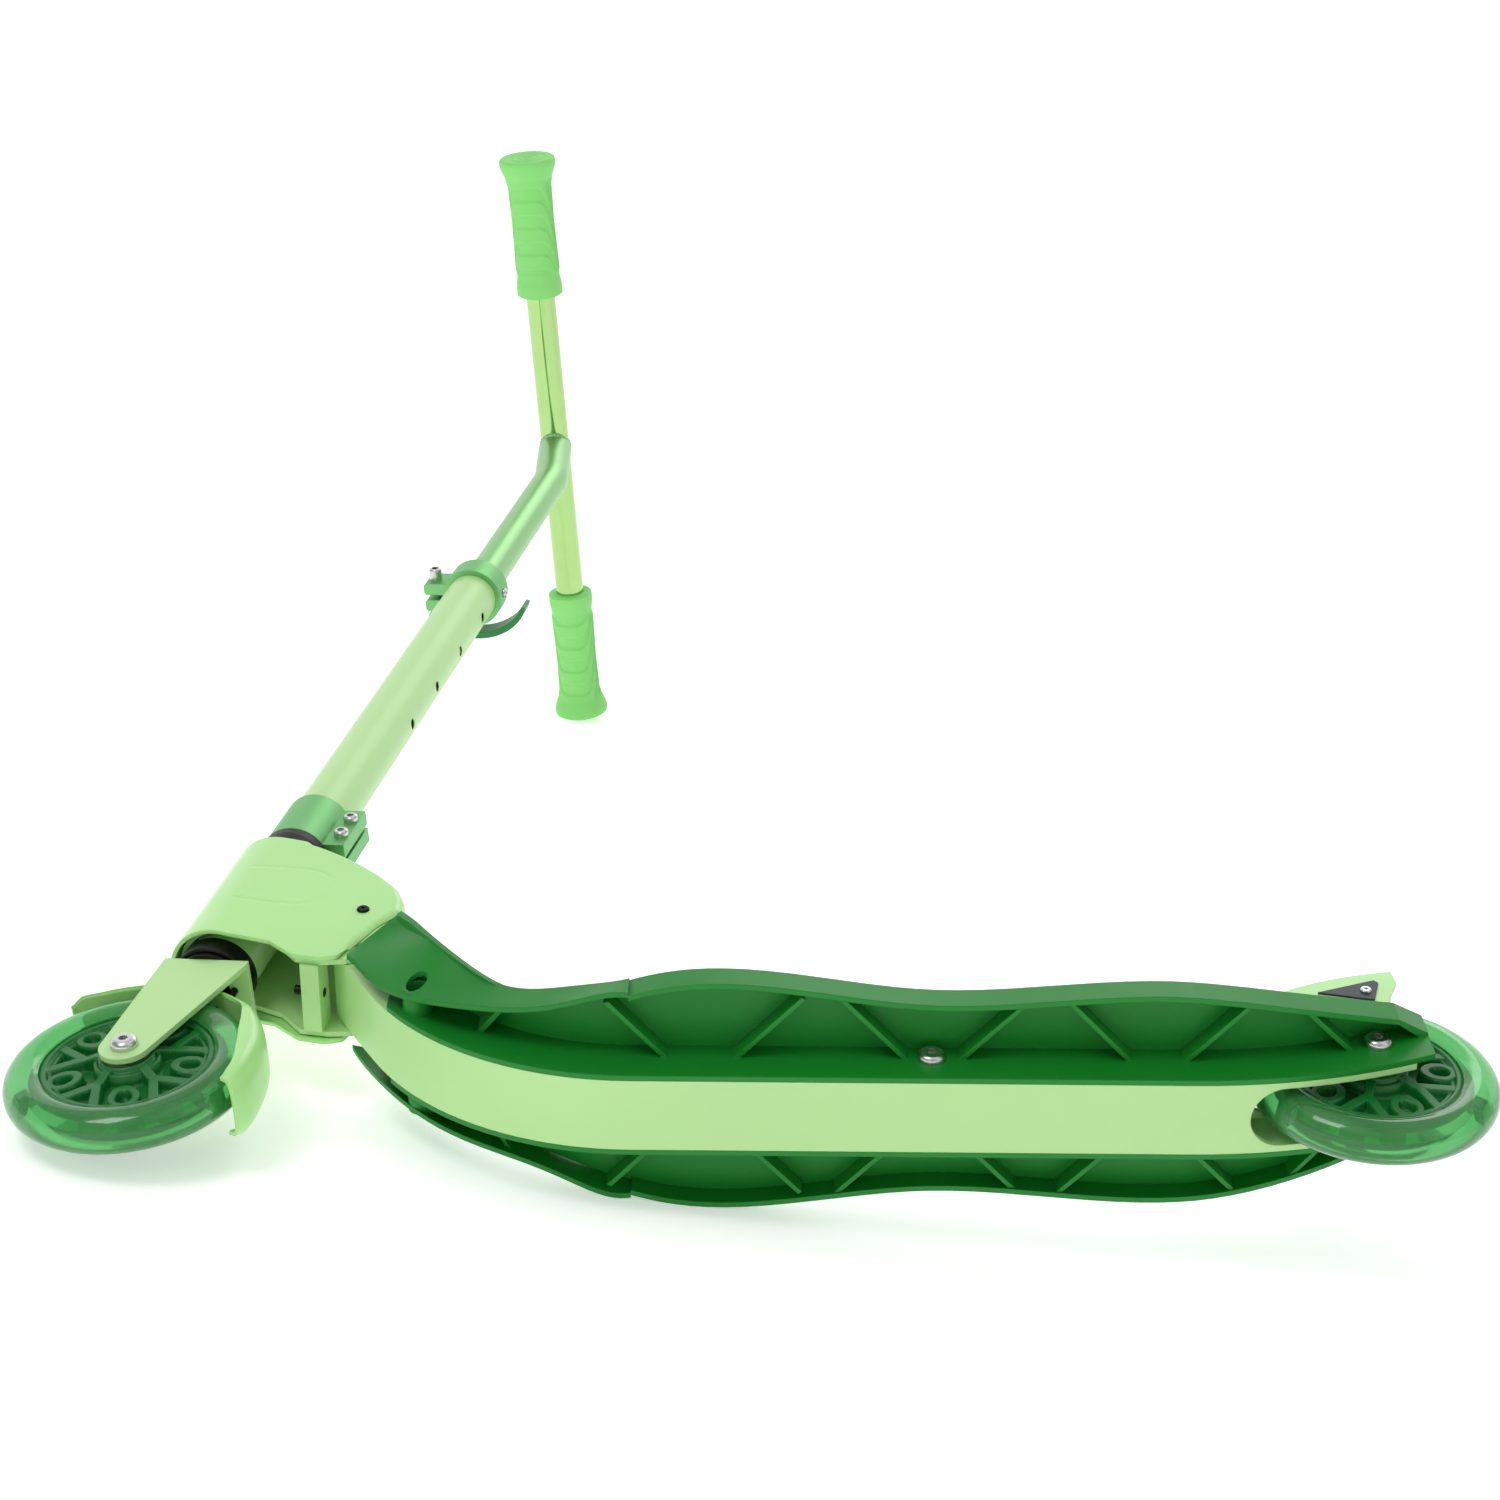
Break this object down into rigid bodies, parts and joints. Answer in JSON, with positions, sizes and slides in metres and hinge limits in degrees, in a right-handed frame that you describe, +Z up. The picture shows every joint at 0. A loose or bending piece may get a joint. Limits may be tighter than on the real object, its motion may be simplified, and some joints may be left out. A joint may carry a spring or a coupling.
{
  "type": "kick scooter",
  "caption": "Folding kick scooter with a raised handlebar, moulded deck, rear foot brake and light-up wheels, lying on its right side.",
  "frame": {"origin": "centre of the bounding box's bottom face, on the ground that the scooter lies on", "axes": "+Y from the wheels towards the handlebar, +X towards the rear wheel, +Z up, with the rider's left side upwards"},
  "size_m": [0.7398, 1.0152, 0.4527],
  "materials": {
    "light_green_paint": "satin powder coat",
    "green_metal": "glossy metallic lacquer",
    "green_anodised": "satin anodised",
    "dark_steel": "satin black enamel",
    "light_green_plastic": "fine moulded",
    "dark_green_plastic": "fine grained moulding",
    "wheel_plastic": "moulded",
    "tyre_green": "clear tinted polyurethane",
    "grip_rubber": "soft matt",
    "zinc_steel": "bright zinc",
    "black_steel": "black oxide",
    "black_plastic": "moulded",
    "plate_plastic": "moulded",
    "light_module": "clear over silver",
    "brass": "polished"
  },
  "bodies": {
    "deck": {"backbone_tube": "light_green_paint", "deck_board": "dark_green_plastic", "deck_cross_bolt": "zinc_steel", "deck_cross_nut": "zinc_steel", "deck_side_screws": "zinc_steel", "rear_axle_bolt": "zinc_steel", "rear_axle_nut": "zinc_steel", "rear_axle_spacers": "zinc_steel", "brake_mount": "light_green_paint", "brake_pin": "zinc_steel", "brake_spring": "zinc_steel"},
    "rear_wheel": {"rear_tyre": "tyre_green", "rear_wheel_core": "wheel_plastic", "rear_wheel_lights": "light_module", "rear_bearings": "zinc_steel"},
    "brake": {"brake_pedal": "light_green_plastic", "brake_side_plates": "plate_plastic", "brake_plate_screws": "zinc_steel"},
    "head": {"head_bracket": "light_green_paint", "head_tube": "light_green_paint", "stop_block": "light_green_paint", "stop_screw": "black_steel", "fold_pin": "zinc_steel", "left_cover": "light_green_plastic", "right_cover": "light_green_plastic", "cover_screws": "black_steel", "lower_headset_cup": "black_steel", "upper_headset_cup": "black_steel", "headset_bearings": "zinc_steel"},
    "fold_latch": {"latch_pin": "zinc_steel", "latch_button": "black_plastic"},
    "steering": {"fork": "light_green_paint", "steerer_tube": "dark_steel", "crown_race": "black_steel", "headset_cap": "black_plastic", "front_fender": "light_green_plastic", "fender_screw": "black_steel", "mast_tube": "light_green_paint", "lower_collar": "green_anodised", "collar_screws": "zinc_steel", "clamp_ring": "green_anodised", "clamp_bolt": "zinc_steel", "clamp_ring_screw": "zinc_steel", "clamp_sleeve": "black_plastic", "lever_pin": "zinc_steel", "front_axle_bolt": "zinc_steel", "front_axle_nut": "zinc_steel", "front_axle_spacers": "zinc_steel"},
    "front_wheel": {"front_tyre": "tyre_green", "front_wheel_core": "wheel_plastic", "front_wheel_lights": "light_module", "front_bearings": "zinc_steel"},
    "clamp_lever": {"clamp_lever": "dark_green_plastic"},
    "handlebar": {"upper_tube": "green_metal", "crossbar": "green_metal", "left_grip": "grip_rubber", "right_grip": "grip_rubber", "upper_tube_bush": "black_plastic", "button_spring": "zinc_steel"},
    "height_button": {"snap_button": "brass"}
  },
  "joints": [
    {"name": "rear_wheel_spin", "type": "hinge", "parent": "deck", "child": "rear_wheel", "pos_m": [0.30771, -0.44606, 0.1042], "axis": [-0.1122, -0.1928, 0.9748], "continuous": true},
    {"name": "brake_press", "type": "hinge", "parent": "deck", "child": "brake", "pos_m": [0.23616, -0.44008, 0.09716], "axis": [0.1122, 0.1928, -0.9748], "range_deg": [0, 3], "stiffness_Nm_per_rad": 0.6, "springref_deg": -17.19},
    {"name": "fold", "type": "hinge", "parent": "deck", "child": "head", "pos_m": [-0.20117, -0.35188, 0.06428], "axis": [0.1122, 0.1928, -0.9748], "range_deg": [0, 78]},
    {"name": "fold_latch_slide", "type": "slide", "parent": "head", "child": "fold_latch", "axis": [-0.4968, 0.8604, 0.113], "range_m": [0, 0.006], "stiffness_N_per_m": 800, "springref_m": -0.006},
    {"name": "steer", "type": "hinge", "parent": "head", "child": "steering", "pos_m": [-0.27387, -0.30141, 0.0659], "axis": [0.1726, 0.9623, 0.2102], "continuous": true},
    {"name": "front_wheel_spin", "type": "hinge", "parent": "steering", "child": "front_wheel", "pos_m": [-0.30826, -0.43241, 0.0352], "axis": [-0.1844, -0.1781, 0.9666], "continuous": true},
    {"name": "clamp_lever_swing", "type": "hinge", "parent": "steering", "child": "clamp_lever", "pos_m": [-0.21411, 0.1682, 0.14572], "axis": [0.1726, 0.9623, 0.2102], "range_deg": [0, 90]},
    {"name": "bar_height", "type": "slide", "parent": "steering", "child": "handlebar", "axis": [0.1726, 0.9623, 0.2102], "range_m": [-0.112, 0.056]},
    {"name": "height_button_press", "type": "slide", "parent": "handlebar", "child": "height_button", "axis": [-0.9676, 0.2055, -0.1467], "range_m": [0, 0.004], "stiffness_N_per_m": 500, "springref_m": -0.006}
  ]
}
